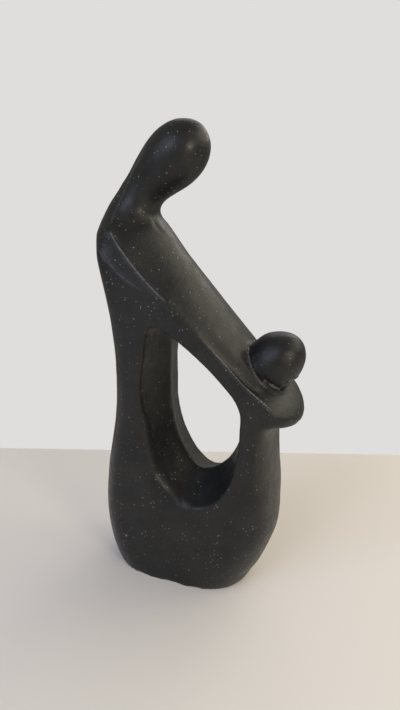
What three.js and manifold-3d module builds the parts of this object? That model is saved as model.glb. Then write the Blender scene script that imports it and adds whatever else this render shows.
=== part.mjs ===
// Parent and child, carved from one block of soapstone.
// A faceless parent leans over a child's head that rests in the joined arms. Back, belly, column and
// arms make one loop round a tall teardrop opening. Millimetres, +Z up. X runs from the parent's back
// towards the child and Y through the thickness, with the side that is shown at -Y.
import * as THREE from "three";
import { LoftGeometry } from "three/addons/geometries/LoftGeometry.js";
import { mergeVertices } from "three/addons/utils/BufferGeometryUtils.js";
import Module from "manifold-3d";

// Half thicknesses at the edge of the broad faces, by height
const FOOT_HALF = 23.2;
const BELLY_HALF = 24;
const COLUMN_HALF = 23.5;
const ARM_HALF = 26;
const SHOULDER_HALF = 28.5;
const HALF_BY_HEIGHT = [
  [0, FOOT_HALF],
  [30, BELLY_HALF],
  [60, BELLY_HALF],
  [95, COLUMN_HALF],
  [130, ARM_HALF],
  [185, SHOULDER_HALF],
  [215, SHOULDER_HALF],
];

// Hollowing of the wall between the ridge at mid thickness and the rim
const SCOOP = 0.5;

// Raised sleeve facet on each shoulder: its full slope, and the width that has the full slope
const SLEEVE_CHAMFER = 2.4;
const SLEEVE_FULL = 9;
const LEAST_FACET = 0.12;
const WIDEST_FACET = 0.6;

// Where the groove beside the edge lies, as a share of the half thickness, and how wide it spreads
const GROOVE_AT = 0.86;
const GROOVE_SPREAD = 0.1;

// Parent's neck and head: an egg leaning forward off a straight nape.
// Each ring has a half width across the XZ plane and a half thickness in Y.
const NECK_AND_HEAD = [
  { at: [-36, 188], half: 7, thick: 14 },
  { at: [-38.3, 201], half: 13.4, thick: 19 },
  { at: [-35, 210], half: 12.3, thick: 14.4 },
  { at: [-29.4, 218.2], half: 10.6, thick: 11.4 },
  { at: [-23.4, 224.6], half: 12.2, thick: 12.6 },
  { at: [-16.8, 230.8], half: 14.4, thick: 14.8 },
  { at: [-10.5, 236.3], half: 14.7, thick: 15 },
  { at: [-5.8, 240.6], half: 13.2, thick: 13.4 },
  { at: [-2.5, 243.7], half: 10.6, thick: 10.8 },
  { at: [-0.3, 245.8], half: 7.4, thick: 7.6 },
  { at: [1.1, 247.1], half: 3.9, thick: 4 },
  { at: [1.7, 247.6], half: 0.8, thick: 0.8 },
];

// Child's head: an egg on the same lean, sunk into the arms
const CHILD_HEAD = { at: [38.9, 134.4], long: 20.3, across: 14.5, deep: 12, lean: 0.73 };

// Stations of the loop, clockwise from the shoulders when seen from -Y, as [x, z].
// hole is the ridge inside the opening, edge the border of the broad face, crest the outline.
// flare is how far the wall of the opening leans out from ridge to rim, at -Y and at +Y.
// front flattens the side between edge and crest, sleeve is the width of the facet, groove a dip
// beside the edge.
function station(name, hole, edge, crest, flare, { front = 0, sleeve = 0, groove = 0 } = {}) {
  return { name, hole, edge, crest, flare, front, sleeve, groove };
}
const STATIONS = [
  station("nape", [-15, 147.5], [-40, 199], [-51.8, 202.7], [7, 7], { front: 0.5, sleeve: 16 }),
  station("shoulders", [-14, 149.5], [-35.5, 201.5], [-44, 213.8], [6.8, 6.8], { front: 1, sleeve: 22 }),
  station("throat", [-12, 150.5], [-28.6, 192], [-26.5, 209.3], [6, 6], { front: 1, sleeve: 16 }),
  station("breast", [-7.5, 149.5], [-18.6, 180], [-9, 188.5], [5, 5], { front: 1, sleeve: 9, groove: 1.2 }),
  station("mid chest", [-0.3, 144.8], [-5.5, 166.5], [4.5, 172], [4.5, 4.5], { front: 1, groove: 0.8 }),
  station("lower chest", [6.5, 137.5], [9, 153.3], [17.5, 156.3], [4.5, 4.5], { front: 1, groove: 0.8 }),
  station("cradle", [13.4, 130.6], [22, 141.5], [28, 143.5], [4.5, 4.5], { front: 1, groove: 2.6 }),
  station("child's nape", [19.3, 124.8], [33, 131], [36.5, 132.5], [4.5, 4.5], { front: 1, groove: 3 }),
  station("hands", [23.4, 120.4], [42.3, 123], [43.6, 122.2], [4.5, 4.5], { front: 0.8, groove: 0.6 }),
  station("fingertips", [25.2, 115], [45.5, 117], [55.8, 112.8], [4.5, 4.5], { front: 0.1 }),
  station("under the hands", [25.4, 109.5], [43.6, 113.3], [56, 107.7], [4.5, 4.5]),
  station("wrist", [25.4, 105], [39.8, 110.8], [47.5, 106.2], [4.5, 4.5]),
  station("top of the column", [25.1, 100], [37, 104.5], [44, 101.5], [4.5, 4.5]),
  station("column", [23.5, 90], [36.3, 84], [44.2, 81], [4.8, 4.8]),
  station("flank", [19, 79], [36, 62], [46.6, 58], [8, 7]),
  station("right of the foot", [12.5, 71.5], [28, 33], [44, 31], [12, 10]),
  station("right corner", [7, 68], [5, 3.5], [24.6, -5], [12.6, 10.4]),
  station("foot", [1.5, 66.8], [-10, 2.5], [-10, -10], [12.4, 9.8]),
  station("left corner", [-4.5, 70.5], [-27, 3.5], [-47.5, -5], [13, 9]),
  station("belly", [-10.4, 79], [-38, 28], [-57.2, 28], [13, 8.4]),
  station("hip", [-15, 92], [-39, 60], [-55.5, 60], [11, 8.2]),
  station("back", [-17, 112], [-32.5, 104], [-47.2, 104], [8, 8]),
  station("mid back", [-16.8, 128], [-31, 136], [-45.2, 136], [7, 7]),
  station("upper back", [-16.5, 139], [-34.5, 166], [-47.2, 166], [7, 7]),
  station("blades", [-15.8, 144.5], [-39.5, 188], [-50.5, 188], [7, 7]),
];

// Mesh density
const STEPS_PER_STATION = 4;
const WALL_STEPS = 4;
const FACE_STEPS = 4;
const SIDE_STEPS = 8;
const ROUND_STEPS = 24;
const SPINE_STEPS = 2;
const HEAD_STEPS = 18;

const wasm = await Module();
wasm.setup();

const smooth = (t) => t * t * (3 - 2 * t);

function halfAt(z) {
  const clamped = THREE.MathUtils.clamp(z, HALF_BY_HEIGHT[0][0], HALF_BY_HEIGHT.at(-1)[0]);
  const i = HALF_BY_HEIGHT.findIndex(([height]) => clamped <= height);
  if (i <= 0) return HALF_BY_HEIGHT[0][1];
  const [z0, h0] = HALF_BY_HEIGHT[i - 1];
  const [z1, h1] = HALF_BY_HEIGHT[i];
  return THREE.MathUtils.lerp(h0, h1, smooth((clamped - z0) / (z1 - z0)));
}

function closedCurve(pick, type = "centripetal") {
  return new THREE.CatmullRomCurve3(STATIONS.map((s) => new THREE.Vector3(...pick(s))), true, type, 0.5);
}

// Half a section of the loop, from the ridge of the opening over one broad face to the crest
function halfSection(hole, edge, crest, flare, [front, sleeve, groove]) {
  const half = [];
  const outward = edge.clone().sub(hole);
  const length = outward.length();
  outward.divideScalar(length);
  const rim = hole.clone().addScaledVector(outward, flare);
  const rimHalf = halfAt(rim.z);
  for (let i = 0; i < WALL_STEPS; i++) {
    const s = i / WALL_STEPS;
    const along = flare * (s + SCOOP * s * (1 - s));
    half.push(hole.clone().addScaledVector(outward, along).setY(rimHalf * s));
  }
  const facet = THREE.MathUtils.clamp(sleeve / (length - flare), LEAST_FACET, WIDEST_FACET);
  const faceHalf = halfAt(edge.z);
  for (let i = 0; i < FACE_STEPS; i++) {
    const s = ((1 - facet) * i) / (FACE_STEPS - 1);
    half.push(rim.clone().lerp(edge, s).setY(THREE.MathUtils.lerp(rimHalf, faceHalf, s)));
  }
  const edgeHalf = faceHalf - SLEEVE_CHAMFER * Math.min(1, sleeve / SLEEVE_FULL);
  const side = crest.clone().sub(edge);
  const inward = side.clone().normalize().negate();
  for (let i = 0; i < SIDE_STEPS; i++) {
    const turn = (i / SIDE_STEPS) * (Math.PI / 2);
    const across = Math.cos(turn);
    const round = Math.sin(turn);
    const rise = THREE.MathUtils.lerp(round, round * round, front);
    const dip = groove * Math.exp(-(((across - GROOVE_AT) / GROOVE_SPREAD) ** 2));
    const point = edge.clone().addScaledVector(side, rise).addScaledVector(inward, dip);
    half.push(point.setY(edgeHalf * across));
  }
  return half;
}

function loopGeometry() {
  const holes = closedCurve((s) => [s.hole[0], 0, s.hole[1]]);
  const edges = closedCurve((s) => [s.edge[0], 0, s.edge[1]]);
  const crests = closedCurve((s) => [s.crest[0], 0, s.crest[1]]);
  const flares = closedCurve((s) => [...s.flare, 0], "catmullrom");
  const extras = closedCurve((s) => [s.front, s.sleeve, s.groove], "catmullrom");
  const count = STATIONS.length * STEPS_PER_STATION;
  const sections = [];
  for (let i = 0; i < count; i++) {
    const u = i / count;
    const lines = [holes.getPoint(u), edges.getPoint(u), crests.getPoint(u)];
    const flare = flares.getPoint(u);
    const kept = extras.getPoint(u).toArray().map((v) => Math.max(0, v));
    const back = halfSection(...lines, flare.y, kept);
    const front = halfSection(...lines, flare.x, kept).slice(1).reverse();
    sections.push([...back, lines[2], ...front.map((p) => p.setY(-p.y))]);
  }
  sections.push(sections[0].map((p) => p.clone()));
  return new LoftGeometry(sections, { closed: true });
}

// A body of oval sections strung on a spine in the XZ plane
function spineGeometry(rings) {
  const last = rings.length - 1;
  const spine = new THREE.CatmullRomCurve3(
    rings.map((r) => new THREE.Vector3(r.at[0], 0, r.at[1])), false, "centripetal");
  const sizes = new THREE.CatmullRomCurve3(
    rings.map((r) => new THREE.Vector3(r.half, r.thick, 0)), false, "catmullrom", 0.5);
  const sections = [];
  const steps = last * SPINE_STEPS;
  for (let i = 0; i <= steps; i++) {
    const u = i / steps;
    const centre = spine.getPoint(u);
    const tangent = spine.getTangent(u);
    const inPlane = new THREE.Vector3(-tangent.z, 0, tangent.x);
    const size = sizes.getPoint(u);
    const ring = [];
    for (let k = 0; k < ROUND_STEPS; k++) {
      const turn = (k / ROUND_STEPS) * Math.PI * 2;
      const point = centre.clone().addScaledVector(inPlane, size.x * Math.cos(turn));
      ring.push(point.setY(-size.y * Math.sin(turn)));
    }
    sections.push(ring);
  }
  return new LoftGeometry(sections, { closed: true, capStart: true, capEnd: true });
}

function childHeadGeometry() {
  const profile = [];
  for (let i = 0; i <= HEAD_STEPS; i++) {
    const turn = (i / HEAD_STEPS - 0.5) * Math.PI;
    const reach = turn < 0 ? CHILD_HEAD.deep : CHILD_HEAD.long;
    const radius = i % HEAD_STEPS === 0 ? 0 : CHILD_HEAD.across * Math.cos(turn);
    profile.push(new THREE.Vector2(radius, reach * Math.sin(turn)));
  }
  return new THREE.LatheGeometry(profile, ROUND_STEPS)
    .rotateX(Math.PI / 2)
    .rotateY(CHILD_HEAD.lean)
    .translate(CHILD_HEAD.at[0], 0, CHILD_HEAD.at[1]);
}

function solid(shape) {
  const geometry = new THREE.BufferGeometry();
  geometry.setAttribute("position", shape.getAttribute("position"));
  geometry.setIndex(shape.index);
  const merged = mergeVertices(geometry, 1e-3);
  return new wasm.Manifold(new wasm.Mesh({
    numProp: 3,
    vertProperties: merged.attributes.position.array,
    triVerts: new Uint32Array(merged.index.array),
  }));
}

function geometryOf(manifold) {
  const mesh = manifold.getMesh();
  const geometry = new THREE.BufferGeometry();
  geometry.setAttribute("position", new THREE.BufferAttribute(new Float32Array(mesh.vertProperties), 3));
  geometry.setIndex(new THREE.BufferAttribute(new Uint32Array(mesh.triVerts), 1));
  geometry.computeBoundingBox();
  const { min, max } = geometry.boundingBox;
  geometry.translate(-(min.x + max.x) / 2, 0, 0);
  geometry.computeVertexNormals();
  return geometry;
}

const ground = new THREE.BoxGeometry(300, 200, 50).translate(0, 0, -25);
const figure = solid(loopGeometry())
  .add(solid(spineGeometry(NECK_AND_HEAD)))
  .add(solid(childHeadGeometry()))
  .subtract(solid(ground));

const blackStone = new THREE.MeshStandardMaterial({ color: 0x2e2e2f, roughness: 0.42, metalness: 0 });
const mesh = new THREE.Mesh(geometryOf(figure), blackStone);
mesh.name = "parent_and_child";

const sculpture = new THREE.Group();
sculpture.add(mesh);

export default sculpture;
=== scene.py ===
"""Parent and child, carved from one block of soapstone, blackened and waxed, on a plain pale floor.

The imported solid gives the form. A smooth skin is drawn over it, and the finer carving is cut into that
skin: the raised sleeves with their ridges, the lip round the child's head, the lines of the arms, the
soft waves of the rasp and a few chips. Lengths are in millimetres until they go into a mesh.
"""

import math

import bmesh
import bpy
import numpy as np
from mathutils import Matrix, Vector, noise
from mathutils.bvhtree import BVHTree


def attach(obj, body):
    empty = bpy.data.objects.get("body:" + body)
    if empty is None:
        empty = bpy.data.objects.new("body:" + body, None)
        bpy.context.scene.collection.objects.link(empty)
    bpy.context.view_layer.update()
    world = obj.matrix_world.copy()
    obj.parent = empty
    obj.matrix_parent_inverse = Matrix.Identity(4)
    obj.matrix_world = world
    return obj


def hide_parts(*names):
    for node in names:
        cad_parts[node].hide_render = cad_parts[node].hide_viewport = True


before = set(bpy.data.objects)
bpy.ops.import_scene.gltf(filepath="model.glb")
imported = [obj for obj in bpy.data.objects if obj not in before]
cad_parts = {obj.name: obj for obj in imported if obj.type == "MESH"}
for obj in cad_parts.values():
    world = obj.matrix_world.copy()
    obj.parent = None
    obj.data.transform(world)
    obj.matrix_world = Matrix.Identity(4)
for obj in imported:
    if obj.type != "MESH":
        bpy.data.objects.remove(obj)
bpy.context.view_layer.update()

MM = 0.001

# Camera: where it stands, which way it turns and dips, and the frame it fills
CAMERA_AT = Vector((95.8, -254.8, 231.0))
CAMERA_TURN = math.radians(20.5)
CAMERA_DIP = math.radians(19.5)
LENS = 27.38
SENSOR = 36
FRAME_WIDE = 400
FRAME_HIGH = 710

# Skin: its grain, which edges of the solid stay edges, and how often it is eased
VOXEL = 1.2
SHARP = math.radians(26)
EASE_ALL = 8
EASE_RIDGE = 14
EASE_MELTED = 110

# Small corrections of the outline. Frame point, depth at which it lies, shift along X and Z, reach.
NUDGES = [
    ((303, 398), 0, (-1.4, 0.2), 4.5),
    ((297, 423), 0, (1.8, -0.4), 4.5),
    ((296, 382), 0, (-1.5, -0.2), 3.0),
    ((266, 333), 0, (-0.5, 0.5), 6.0),
    ((132, 166), 0, (-0.6, 0.2), 9.0),
    ((107, 518), 0, (-0.9, 0.0), 11.0),
    ((276, 520), 0, (0.5, 0.0), 10.0),
    ((126, 563), 0, (0.9, 0.0), 5.0),
    ((256, 563), 0, (-0.6, 0.0), 5.0),
    ((176, 372), 24, (1.4, 0.0), 11.0),
]

# Carved lines, as points of the frame that are laid on the stone along the lines of sight
SLEEVE_RIDGE = [
    (110, 229), (112, 235), (119, 247), (125, 255), (133, 266), (143, 278), (155, 291), (168, 304),
]
SLEEVE_SWELL = [(122, 254), (131, 268), (141, 281), (151, 294), (159, 303)]
SLEEVE_FOOT = [(97, 249.5), (103, 257), (109, 264), (117, 273.5), (125, 280), (136, 288), (147, 295)]
NAPE_CREASE = [(149, 143), (137, 165), (129, 180), (122.5, 194), (117, 206), (112.5, 218), (109.5, 226)]
ARM_LINE = [(200, 339), (205, 344), (221, 361), (235, 377), (248.5, 391.5), (262, 404), (277, 415)]
ARM_HOLLOW = [(236, 358), (241, 366), (247, 374), (253, 381), (259, 388)]
COLUMN_EDGE = [(256, 430), (252.5, 474), (250, 505), (244, 534), (239, 552)]
THROAT_GROOVE = [(152.5, 214), (154, 222), (159.5, 230.5), (165, 235)]
THROAT_FOLD = [(157, 212), (159, 222), (165, 232), (172, 241)]
FLOOR_STEP = [(177, 490), (179, 498), (182, 507)]
SOFT_RIM = [(141, 425), (143, 442), (149, 464), (157, 482), (167, 495), (177, 503)]

# Round dents (below zero) and swellings (above): frame point, height, radius
DENTS = [
    ((121, 226), -1.0, 5.0),
    ((124, 205), 0.35, 3.0),
    ((157, 474), -0.5, 5.0),
]
CHIPS = [
    ((126.5, 535.5), -0.3, 0.6),
    ((133, 537), -0.2, 0.45),
    ((299, 413.5), -0.25, 0.5),
]

# Child's head in the solid: centre, half length, half width, and how far its axis leans from upright
CHILD_AT = Vector((39.44, 0, 134.4))
CHILD_LONG = 20.3
CHILD_ACROSS = 14.5
CHILD_LEAN = 0.73
CHILD_AXIS = Vector((math.sin(CHILD_LEAN), 0, math.cos(CHILD_LEAN)))
CHILD_FRONT = Vector((math.cos(CHILD_LEAN), 0, -math.sin(CHILD_LEAN)))

# Floor: the frame points that its far edge runs through, and how far it reaches
FLOOR_EDGE = [(0, 448), (400, 455)]
FLOOR_SIDE = 700
FLOOR_DEEP = 1100


def linear(hex_colour):
    """sRGB hex to linear RGBA."""
    parts = [int(hex_colour[i : i + 2], 16) / 255 for i in (0, 2, 4)]
    return [p / 12.92 if p <= 0.04045 else ((p + 0.055) / 1.055) ** 2.4 for p in parts] + [1.0]


def smooth(t):
    t = np.clip(t, 0, 1)
    return t * t * (3 - 2 * t)


def hump(x, width):
    """A smooth bump, 1 high, that has died away at twice its width."""
    return np.exp(-((x / width) ** 2))


def add_camera():
    data = bpy.data.cameras.new("camera")
    data.lens = LENS
    data.sensor_width = SENSOR
    data.sensor_fit = "AUTO"
    data.clip_start = 0.01
    data.clip_end = 20
    camera = bpy.data.objects.new("camera", data)
    camera.location = CAMERA_AT * MM
    camera.rotation_euler = (math.pi / 2 - CAMERA_DIP, 0, CAMERA_TURN)
    bpy.context.collection.objects.link(camera)
    bpy.context.scene.camera = camera


def sight(x, y):
    """Direction from the camera through a point of the frame."""
    focal = LENS / SENSOR * FRAME_HIGH
    level = Vector((-math.sin(CAMERA_TURN), math.cos(CAMERA_TURN), 0))
    right = Vector((math.cos(CAMERA_TURN), math.sin(CAMERA_TURN), 0))
    ahead = level * math.cos(CAMERA_DIP) - Vector((0, 0, math.sin(CAMERA_DIP)))
    up = right.cross(ahead)
    return (right * ((x - FRAME_WIDE / 2) / focal) + up * ((FRAME_HIGH / 2 - y) / focal) + ahead).normalized()


def at_level(point, axis, level):
    """Where the line of sight through a frame point meets the plane on which that coordinate is level."""
    way = sight(*point)
    return CAMERA_AT + way * ((level - CAMERA_AT[axis]) / way[axis])


def settle(piece):
    """Makes what the modifiers give the piece's own mesh."""
    graph = bpy.context.evaluated_depsgraph_get()
    done = bpy.data.meshes.new_from_object(piece.evaluated_get(graph))
    piece.modifiers.clear()
    old = piece.data
    piece.data = done
    bpy.data.meshes.remove(old)


def points_of(piece):
    values = np.empty(len(piece.data.vertices) * 3)
    piece.data.vertices.foreach_get("co", values)
    return values.reshape(-1, 3) / MM


def normals_of(piece):
    values = np.empty(len(piece.data.vertices) * 3)
    piece.data.vertex_normals.foreach_get("vector", values)
    return values.reshape(-1, 3)


def move_to(piece, points):
    piece.data.vertices.foreach_set("co", (points * MM).ravel())
    piece.data.update()


def filled(points, gap=0.4):
    """A polyline with points about every gap."""
    line = []
    for a, b in zip(points, points[1:]):
        steps = max(1, round(float(np.linalg.norm(b - a)) / gap))
        line += [a + (b - a) * i / steps for i in range(steps)]
    return np.array(line + [points[-1]])


def rounded(points, passes=2):
    """Corner cutting, so that a line of few points runs in a curve."""
    points = [np.array(p, float) for p in points]
    for _ in range(passes):
        cut = [points[0]]
        for a, b in zip(points, points[1:]):
            cut += [a * 0.75 + b * 0.25, a * 0.25 + b * 0.75]
        points = cut + [points[-1]]
    return points


def touch(tree, point, side=-1):
    """Where the line of sight through a frame point meets the stone; side 1 mirrors it to the far side."""
    way = sight(*point)
    start = Vector((CAMERA_AT.x, -side * CAMERA_AT.y, CAMERA_AT.z)) * MM
    hit = tree.ray_cast(start, Vector((way.x, -side * way.y, way.z)))[0]
    return None if hit is None else np.array(hit) / MM


def laid(tree, line, side=-1):
    hits = [touch(tree, point, side) for point in rounded(line)]
    return filled([h for h in hits if h is not None])


def close_to(points, line, reach):
    """Which points lie within reach of a line, how far from it, and by which point of the line."""
    above = points > line.min(axis=0) - reach
    below = points < line.max(axis=0) + reach
    near = np.nonzero(np.all(above & below, axis=1))[0]
    gaps = np.linalg.norm(points[near, None] - line[None], axis=2)
    best = gaps.argmin(axis=1)
    distance = gaps[np.arange(len(near)), best]
    kept = distance < reach
    return near[kept], distance[kept], best[kept]


def skin_of(node):
    """A smooth, even skin over the solid: its flat facets rounded, its real edges kept."""
    shape = bmesh.new()
    shape.from_mesh(node.data)
    bmesh.ops.remove_doubles(shape, verts=shape.verts, dist=0.01 * MM)
    bmesh.ops.join_triangles(
        shape,
        faces=shape.faces,
        angle_face_threshold=math.radians(25),
        angle_shape_threshold=math.radians(70),
    )
    crease = shape.edges.layers.float.new("crease_edge")
    for edge in shape.edges:
        if edge.calc_face_angle(0) > SHARP:
            edge[crease] = 1
    mesh = bpy.data.meshes.new("carved_stone")
    shape.to_mesh(mesh)
    shape.free()
    piece = bpy.data.objects.new("carved_stone", mesh)
    bpy.context.collection.objects.link(piece)
    facets = piece.modifiers.new("rounded facets", "SUBSURF")
    facets.levels = facets.render_levels = 2
    even = piece.modifiers.new("even skin", "REMESH")
    even.mode = "VOXEL"
    even.voxel_size = VOXEL * MM
    settle(piece)
    return piece


def ease(piece, weights, passes):
    """Smooths the skin where the weights say so."""
    group = piece.vertex_groups.new(name="eased")
    tenths = np.round(weights * 10).astype(int)
    for step in range(1, 11):
        group.add(np.nonzero(tenths == step)[0].tolist(), step / 10, "REPLACE")
    easing = piece.modifiers.new("eased", "SMOOTH")
    easing.factor = 0.5
    easing.iterations = passes
    easing.vertex_group = group.name
    settle(piece)
    piece.vertex_groups.clear()


def nudge(piece):
    """Shifts small stretches of the outline to where the real one runs."""
    points = points_of(piece)
    shift = np.zeros_like(points)
    for point, depth, (along_x, along_z), reach in NUDGES:
        centre = at_level(point, 1, depth)
        gap = np.hypot(points[:, 0] - centre.x, points[:, 2] - centre.z)
        weight = hump(gap, reach)
        if depth:
            weight *= smooth(points[:, 1] / depth)
        shift += np.outer(weight, (along_x, 0, along_z))
    shift *= smooth(points[:, 2] / 3)[:, None]
    move_to(piece, points + shift)


def refine(piece, lines, reach):
    """Splits the skin close to the lines, so that they can be carved crisply."""
    points = points_of(piece)
    close = np.zeros(len(points), bool)
    for line in lines:
        close[close_to(points, line, reach)[0]] = True
    shape = bmesh.new()
    shape.from_mesh(piece.data)
    shape.verts.ensure_lookup_table()
    edges = [e for e in shape.edges if close[e.verts[0].index] and close[e.verts[1].index]]
    bmesh.ops.subdivide_edges(shape, edges=edges, cuts=1, use_grid_fill=True)
    bmesh.ops.triangulate(shape, faces=[f for f in shape.faces if len(f.verts) > 4])
    shape.to_mesh(piece.data)
    shape.free()


def head_seam(tree):
    """The line where the child's head meets the arms, found by walking down the head from its crown,
    and the way off the head at each of its points."""
    seam = []
    off = []
    for i in range(120):
        turn = i / 120 * math.tau
        out = CHILD_FRONT * math.cos(turn) + Vector((0, math.sin(turn), 0))
        for step in range(160):
            drop = step / 160 * math.pi
            down = CHILD_AXIS * CHILD_LONG * math.cos(drop) + out * CHILD_ACROSS * math.sin(drop)
            spot = CHILD_AT + down
            if tree.find_nearest(spot * MM)[3] > 0.45 * MM:
                break
        seam.append(np.array(spot))
        off.append(np.array(out - CHILD_AXIS * 0.5))
    return np.array(seam), np.array(off)


class Carving:
    """The lift of every point of the skin along its normal, gathered line by line, and where it is paler:
    partly rubbed stone, partly a painted highlight on crests and lips.
    """

    def __init__(self, piece):
        self.piece = piece
        self.points = points_of(piece)
        self.normals = normals_of(piece)
        self.lift = np.zeros(len(self.points))
        self.worn_and_highlit = np.zeros(len(self.points))

    def line(self, path, profile, reach, plus=(0.7, 0, 0.7), ends=(0.1, 0.1), wear_and_highlight=0.0, wear_and_highlight_at=0.0):
        """Adds a profile along a line; across is counted from the line, positive on its plus side."""
        near, _, best = close_to(self.points, path, reach)
        run = np.gradient(path, axis=0)[best]
        sideways = np.cross(self.normals[near], run)
        sideways /= np.linalg.norm(sideways, axis=1, keepdims=True) + 1e-12
        plus = np.array(plus, float)
        plus = plus[best] if plus.ndim > 1 else plus[None]
        sideways *= np.sign(np.sum(sideways * plus, axis=1))[:, None]
        across = np.sum((self.points[near] - path[best]) * sideways, axis=1)
        place = best / (len(path) - 1)
        fade = smooth(place / ends[0]) * smooth((1 - place) / ends[1]) if ends else 1.0
        self.lift[near] += profile(across) * fade
        if wear_and_highlight:
            # Paler band along the line: partly rubbed stone, partly a painted highlight on crests and lips.
            self.worn_and_highlit[near] = np.maximum(self.worn_and_highlit[near], wear_and_highlight * hump(across - wear_and_highlight_at, 0.45) * fade)

    def spot(self, centre, height, radius, wear_and_highlight=0.0):
        gap = np.linalg.norm(self.points - centre, axis=1)
        self.lift += height * hump(gap, radius)
        self.worn_and_highlit = np.maximum(self.worn_and_highlit, wear_and_highlight * hump(gap, radius))

    def finish(self):
        move_to(self.piece, self.points + self.normals * self.lift[:, None])
        # The paler marks, partly rubbed stone and partly a painted highlight, go to the material as an
        # attribute.
        worn_and_highlit = self.piece.data.attributes.new("worn_and_highlit_edge", "FLOAT", "POINT")
        worn_and_highlit.data.foreach_set("value", self.worn_and_highlit)


def ridge_profile(s):
    """A crisp crest that falls steeply to a valley on the chest's side and slowly on the sleeve's."""
    crest = 0.55 * hump(s + 0.3, 0.5) + 0.25 * hump(s + 1.6, 1.6)
    valley = 0.6 * hump(s - 0.75, 0.6) + 0.35 * hump(s - 2.6, 2.2)
    return crest - valley


def swell_profile(s):
    return 0.3 * hump(s, 1.3)


def step_profile(s):
    """The sleeve's lower border: proud above the line, a fine cut below it."""
    return 0.28 * hump(s - 0.75, 0.9) - 0.3 * hump(s + 0.2, 0.45)


def nape_profile(s):
    """A soft corner between the flat nape and the round neck."""
    return 0.1 * hump(s, 0.5) - 0.25 * hump(s + 2.4, 2.0) - 0.1 * hump(s - 1.4, 1.2)


def arm_profile(s):
    """A cut with a proud upper lip."""
    return 0.36 * hump(s - 0.45, 0.45) - 0.55 * hump(s + 0.4, 0.42)


def hollow_profile(s):
    return -0.9 * hump(s, 2.0)


def collar_profile(s):
    """The lip that holds the child's head, with a narrow groove on the head's side."""
    return 0.5 * hump(s - 0.6, 0.5) - 0.5 * hump(s + 0.35, 0.5)


def column_profile(s):
    return 0.35 * hump(s, 1.6)


def groove_profile(s):
    return -0.4 * hump(s, 0.8)


def fold_profile(s):
    return 0.35 * hump(s, 0.6)


def floor_profile(s):
    return 0.35 * hump(s - 0.6, 0.8) - 0.35 * hump(s + 0.6, 0.8)


def weather(carving):
    """The hand-worked surface: long soft waves, and small flats left by the rasp."""
    for i, point in enumerate(carving.points):
        spot = Vector(point)
        broad = noise.noise(spot / 16)
        middle = noise.noise(spot / 6 + Vector((7, 3, 1)))
        fine = noise.noise(spot / 2.4 + Vector((1, 9, 4)))
        carving.lift[i] += 0.16 * broad + 0.08 * middle + 0.03 * fine
    carving.lift *= smooth((carving.points[:, 2] - 0.3) / 3)


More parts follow.
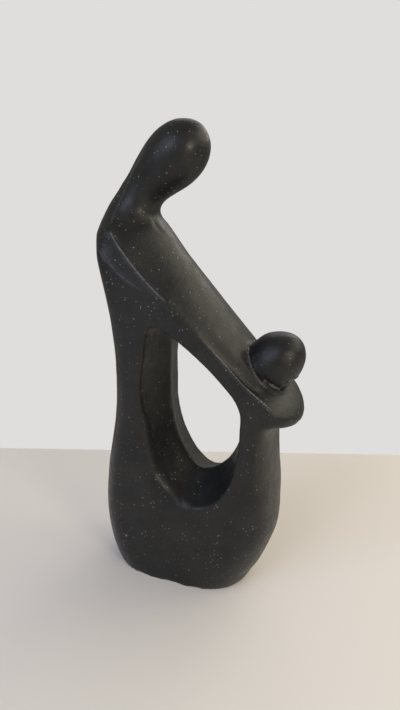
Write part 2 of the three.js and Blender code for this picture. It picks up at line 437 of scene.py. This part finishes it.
def carved_stone():
    piece = skin_of(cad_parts["parent_and_child"])
    nudge(piece)

    tree = BVHTree.FromObject(piece, bpy.context.evaluated_depsgraph_get())
    seam, off = head_seam(tree)
    loop = filled([*seam, seam[0]])
    sides = (-1, 1)
    ridges = [laid(tree, SLEEVE_RIDGE, side) for side in sides]
    arms = [laid(tree, ARM_LINE, side) for side in sides]
    feet = [laid(tree, SLEEVE_FOOT, side) for side in sides]

    # Facets are eased everywhere, but little where an edge of the solid is real
    points = points_of(piece)
    keep = np.zeros(len(points))
    for line in [*arms, loop]:
        near, distance, _ = close_to(points, line, 4)
        keep[near] = np.maximum(keep[near], 1 - smooth((distance - 1) / 3))
    ground = smooth((points[:, 2] - 0.5) / 3)
    ease(piece, (1 - 0.85 * keep) * ground, EASE_ALL)

    # The solid's own edge is eased away under each ridge, which is carved anew
    points = points_of(piece)
    under = np.zeros(len(points))
    for line in ridges:
        near, distance, _ = close_to(points, line, 6)
        under[near] = np.maximum(under[near], 1 - smooth((distance - 3) / 3))
    ease(piece, under, EASE_RIDGE)

    # The neck flows into the shoulders, and the lower left rim of the opening is soft
    points = points_of(piece)
    neck = np.linalg.norm((points - np.array([-37.5, 0, 206])) * np.array([0.9, 0.6, 1]), axis=1)
    melted = smooth((17 - neck) / 6)
    near, distance, _ = close_to(points, laid(tree, SOFT_RIM), 10)
    melted[near] = np.maximum(melted[near], 1 - smooth((distance - 4) / 6))
    ease(piece, melted, EASE_MELTED)

    tree = BVHTree.FromObject(piece, bpy.context.evaluated_depsgraph_get())
    napes = [laid(tree, NAPE_CREASE, side) for side in sides]
    refine(piece, [*ridges, *arms, *feet, *napes, loop], 3)
    refine(piece, [*ridges, *arms, *feet, loop], 1.5)

    carving = Carving(piece)
    # Crests, lips and folds are laid paler: partly rubbed stone, partly a painted highlight; the chips are
    # pale stone.
    for ridge, arm, foot, nape, side in zip(ridges, arms, feet, napes, sides):
        carving.line(ridge, ridge_profile, 7, wear_and_highlight=0.5, wear_and_highlight_at=-0.3, ends=(0.06, 0.2))
        carving.line(laid(tree, SLEEVE_SWELL, side), swell_profile, 4, ends=(0.3, 0.3))
        carving.line(foot, step_profile, 4, wear_and_highlight=0.35, wear_and_highlight_at=0.3, ends=(0.1, 0.4))
        carving.line(nape, nape_profile, 7, plus=(1, 0, 0.3), wear_and_highlight=0.15, ends=(0.25, 0.1))
        carving.line(arm, arm_profile, 3, wear_and_highlight=0.6, wear_and_highlight_at=0.4, ends=(0.25, 0.2))
        carving.line(laid(tree, ARM_HOLLOW, side), hollow_profile, 5, ends=(0.3, 0.3))
        carving.line(laid(tree, COLUMN_EDGE, side), column_profile, 5, plus=(1, 0, 0), ends=(0.2, 0.2))
    ways = off[(np.arange(len(loop)) * len(seam) // len(loop)) % len(seam)]
    carving.line(loop, collar_profile, 3, plus=ways, ends=None, wear_and_highlight=0.5, wear_and_highlight_at=0.5)
    carving.line(laid(tree, THROAT_GROOVE), groove_profile, 3, ends=(0.2, 0.3))
    # The throat fold's paler band is a painted reflection.
    carving.line(laid(tree, THROAT_FOLD), fold_profile, 3, ends=(0.2, 0.4), wear_and_highlight=0.4)
    carving.line(laid(tree, FLOOR_STEP), floor_profile, 3, plus=(-1, 0, 0), ends=(0.3, 0.2))
    for point, height, radius in DENTS:
        carving.spot(touch(tree, point), height, radius)
    for point, height, radius in CHIPS:
        carving.spot(touch(tree, point), height, radius, wear_and_highlight=1.0)
    weather(carving)
    carving.finish()

    piece.data.materials.clear()
    piece.data.materials.append(blackened_soapstone())
    piece.data.shade_smooth()
    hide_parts("parent_and_child")
    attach(piece, "root")


def add_node(tree, kind, settings=None, links=None):
    """One shader node, with its settings and what goes into its sockets: a value or another's output."""
    made = tree.nodes.new(kind)
    for name, value in (settings or {}).items():
        setattr(made, name, value)
    for socket, value in (links or {}).items():
        if isinstance(value, bpy.types.NodeSocket):
            tree.links.new(value, made.inputs[socket])
        else:
            made.inputs[socket].default_value = value
    return made


def blank_material(name):
    material = bpy.data.materials.new(name)
    material.use_nodes = True
    material.node_tree.nodes.clear()
    return material


def blackened_soapstone():
    """Soapstone, carved by hand, blackened and waxed: a charcoal body with a soft deep shine, peppered
    with pale talc flecks and short scratches, and a paler grey-blue along the ridges and lips: partly rubbed
    stone, partly a painted highlight."""
    material = blank_material("soapstone_blackened_waxed")
    tree = material.node_tree
    where = add_node(tree, "ShaderNodeTexCoord").outputs["Object"]

    def mix(share, a, b):
        return add_node(tree, "ShaderNodeMix", {"data_type": "RGBA"}, {0: share, 6: a, 7: b}).outputs[2]

    def times(a, b):
        return add_node(tree, "ShaderNodeMath", {"operation": "MULTIPLY"}, {0: a, 1: b}).outputs[0]

    def ramp(value, low, high, at_low, at_high):
        links = {"Value": value, 1: low, 2: high, 3: at_low, 4: at_high}
        return add_node(tree, "ShaderNodeMapRange", links=links).outputs[0]

    def cloud(size, detail=3.0, rough=0.6):
        links = {"Vector": where, "Scale": 1 / (size * MM), "Detail": detail, "Roughness": rough}
        return add_node(tree, "ShaderNodeTexNoise", links=links).outputs["Fac"]

    def flecks(cell, radius, share, stretch=(1, 1, 1)):
        """Spots of a radius, one in each cell of that size in a share of the cells."""
        placed = add_node(tree, "ShaderNodeMapping", links={"Vector": where, "Scale": stretch}).outputs[0]
        links = {"Vector": placed, "Scale": 1 / (cell * MM), "Randomness": 1}
        cells = add_node(tree, "ShaderNodeTexVoronoi", links=links)
        chance = add_node(tree, "ShaderNodeSeparateColor", links={"Color": cells.outputs["Color"]}).outputs[0]
        there = add_node(tree, "ShaderNodeMath", {"operation": "LESS_THAN"}, {0: chance, 1: share}).outputs[0]
        spot = ramp(cells.outputs["Distance"], radius / cell * 0.6, radius / cell, 1, 0)
        return times(there, spot)

    body = mix(ramp(cloud(18), 0.35, 0.65, 0, 1), linear("1b1b1c"), linear("242424"))
    patches = ramp(cloud(9, 2), 0.42, 0.6, 0.25, 1)
    dust = times(flecks(1.4, 0.3, 0.4), ramp(cloud(6, 2), 0.35, 0.6, 0.2, 0.6))
    colour = mix(dust, body, linear("4a4a4b"))
    colour = mix(times(flecks(2.4, 0.4, 0.8), patches), colour, linear("7c7c7b"))
    dashes = times(flecks(4, 0.5, 0.35, (0.28, 0.28, 1.6)), ramp(cloud(14, 2), 0.5, 0.62, 0, 0.7))
    colour = mix(dashes, colour, linear("6c6c6b"))
    # A paler grey-blue along crests and lips: partly rubbed stone, partly a painted highlight.
    worn_and_highlit = add_node(tree, "ShaderNodeAttribute", {"attribute_name": "worn_and_highlit_edge"}).outputs["Fac"]
    colour = mix(times(worn_and_highlit, ramp(cloud(1.5), 0.3, 0.6, 0.2, 1)), colour, linear("86888c"))

    shine = ramp(cloud(5, 4), 0.35, 0.65, 0.34, 0.46)
    grain = cloud(1.5, 3)
    skin = add_node(tree, "ShaderNodeBump", links={"Height": grain, "Strength": 1.0, "Distance": 0.12 * MM})
    stone = add_node(
        tree,
        "ShaderNodeBsdfPrincipled",
        links={"Base Color": colour, "Roughness": shine, "Normal": skin.outputs["Normal"], "IOR": 1.38},
    )
    add_node(tree, "ShaderNodeOutputMaterial", links={"Surface": stone.outputs[0]})
    return material


def matt_paper():
    material = blank_material("paper_matt_pale")
    tree = material.node_tree
    paper = add_node(
        tree,
        "ShaderNodeBsdfPrincipled",
        links={"Base Color": linear("ece7e2"), "Roughness": 0.8, "Specular IOR Level": 0.2},
    )
    add_node(tree, "ShaderNodeOutputMaterial", links={"Surface": paper.outputs[0]})
    return material


def plain_floor():
    """A flat pale floor whose far edge crosses the frame behind the figure."""
    left, right = [at_level(point, 2, 0) for point in FLOOR_EDGE]
    run = (right - left).normalized()
    back = Vector((-run.y, run.x, 0))
    middle = (left + right) / 2
    shape = bmesh.new()
    bmesh.ops.create_grid(shape, x_segments=2, y_segments=2, size=0.5)
    for vert in shape.verts:
        spot = middle + run * (vert.co.x * 2 * FLOOR_SIDE) + back * ((vert.co.y - 0.5) * FLOOR_DEEP)
        vert.co = spot * MM
    mesh = bpy.data.meshes.new("floor")
    shape.to_mesh(mesh)
    shape.free()
    mesh.materials.append(matt_paper())
    floor = bpy.data.objects.new("floor", mesh)
    bpy.context.collection.objects.link(floor)


def soft_light(name, azimuth, elevation, distance, size, watts, colour):
    """A panel of light that faces the figure. Azimuth 0 is at -Y and 90 at +X."""
    data = bpy.data.lights.new(name, "AREA")
    data.shape = "RECTANGLE"
    data.size, data.size_y = size
    data.energy = watts
    data.color = linear(colour)[:3]
    a, e = math.radians(azimuth), math.radians(elevation)
    way = Vector((math.sin(a) * math.cos(e), -math.cos(a) * math.cos(e), math.sin(e)))
    light = bpy.data.objects.new(name, data)
    light.location = Vector((0, 0, 0.14)) + way * distance
    light.rotation_euler = way.to_track_quat("Z", "Y").to_euler()
    light.visible_camera = False
    bpy.context.collection.objects.link(light)


def studio():
    """Soft panels round the figure and a dim room; the camera sees a plain pale backdrop."""
    world = bpy.data.worlds.new("pale_room")
    bpy.context.scene.world = world
    world.use_nodes = True
    tree = world.node_tree
    tree.nodes.clear()
    seen = add_node(tree, "ShaderNodeLightPath").outputs["Is Camera Ray"]
    glow = {"Color": linear("fffcef"), "Strength": 0.28}
    room = add_node(tree, "ShaderNodeBackground", links=glow).outputs[0]
    wall = add_node(tree, "ShaderNodeBackground", links={"Color": linear("dfdedd"), "Strength": 1}).outputs[0]
    both = add_node(tree, "ShaderNodeMixShader", links={0: seen, 1: room, 2: wall}).outputs[0]
    add_node(tree, "ShaderNodeOutputWorld", links={"Surface": both})
    soft_light("panel_left", -30, 30, 0.9, (0.5, 0.7), 2.4, "d4e4ff")
    soft_light("panel_front", -7, 33, 0.9, (0.3, 0.3), 1.2, "e1e1ff")
    soft_light("panel_right", 56, 16, 0.9, (0.25, 0.25), 2.4, "fff2d6")
    soft_light("panel_side_right", 100, 35, 1.0, (0.7, 0.6), 1.8, "fff3e2")
    soft_light("panel_far_right", 140, 32, 1.0, (1.2, 0.6), 3.4, "fff4d8")
    soft_light("panel_back", 180, 35, 1.0, (0.9, 0.6), 1.95, "f0f0ff")


bpy.context.scene.view_settings.view_transform = "Standard"
add_camera()
carved_stone()
plain_floor()
studio()
